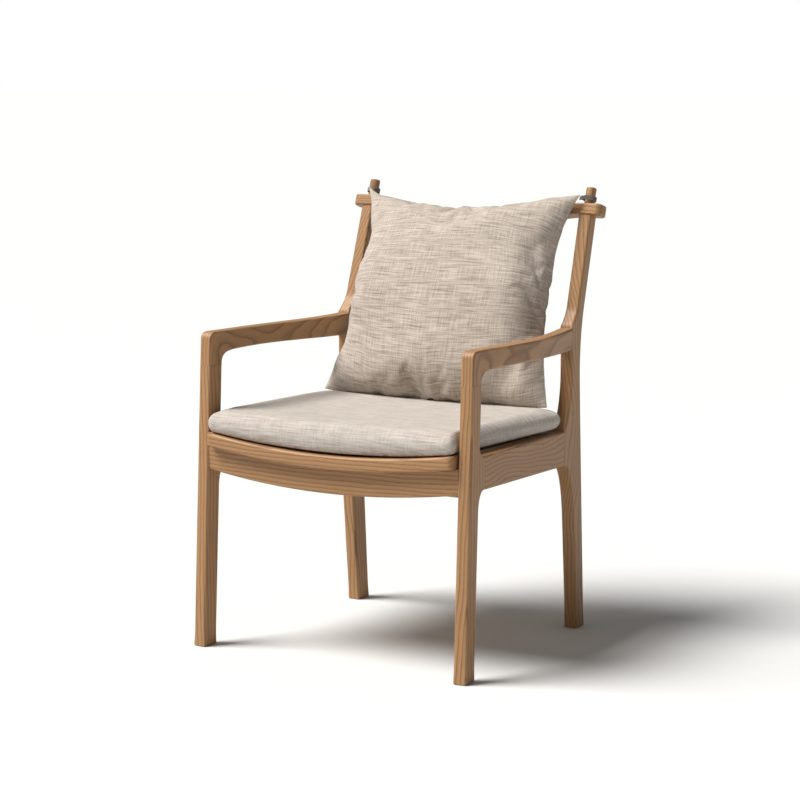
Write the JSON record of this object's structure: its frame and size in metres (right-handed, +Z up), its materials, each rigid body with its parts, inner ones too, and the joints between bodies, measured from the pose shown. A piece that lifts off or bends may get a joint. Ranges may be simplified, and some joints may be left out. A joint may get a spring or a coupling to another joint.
{
  "type": "wooden armchair",
  "caption": "Ash armchair with bowed arms, raked posts and a dished upholstered seat, and a loose back cushion that hangs by fabric loops from pegs on the posts.",
  "frame": {"origin": "on the floor, under the middle of the chair's overall box", "axes": "+Z up, the sitter faces -Y, +X is to the sitter's left side; each piece on the left has its mirror image on the right"},
  "size_m": [0.5668, 0.5712, 0.82],
  "materials": {
    "ash": "oiled ash, open grain, satin",
    "plywood": "raw plywood, matt",
    "dowel": "raw beech, matt",
    "screw_steel": "zinc plated",
    "linen": "slub linen weave, matt",
    "loop_webbing": "woven tape, matt"
  },
  "bodies": {
    "chair": {"leg_front_left": "ash", "leg_front_right": "ash", "post_rear_left": "ash", "post_rear_right": "ash", "arm_left": "ash", "arm_right": "ash", "side_rail_left": "ash", "side_rail_right": "ash", "front_apron": "ash", "seat_lip": "ash", "rear_rail": "ash", "crest_rail": "ash", "spindle_1": "ash", "spindle_2": "ash", "spindle_3": "ash", "spindle_4": "ash", "spindle_5": "ash", "seat_cleat_left": "ash", "seat_cleat_right": "ash", "corner_block_front_left": "ash", "corner_block_front_right": "ash", "corner_block_rear_left": "ash", "corner_block_rear_right": "ash", "seat_board": "plywood", "block_screws": "screw_steel", "board_screws": "screw_steel", "arm_dowels": "dowel", "side_rail_dowels": "dowel", "cross_rail_dowels": "dowel", "seat_cushion": "linen"},
    "pillow": {"back_pillow": "linen", "pillow_loop_left": "loop_webbing", "pillow_loop_right": "loop_webbing"}
  },
  "joints": [
    {"name": "pillow_lift", "type": "slide", "parent": "chair", "child": "pillow", "axis": [0, 0.3057, 0.9521], "range_m": [0, 0.07]}
  ]
}
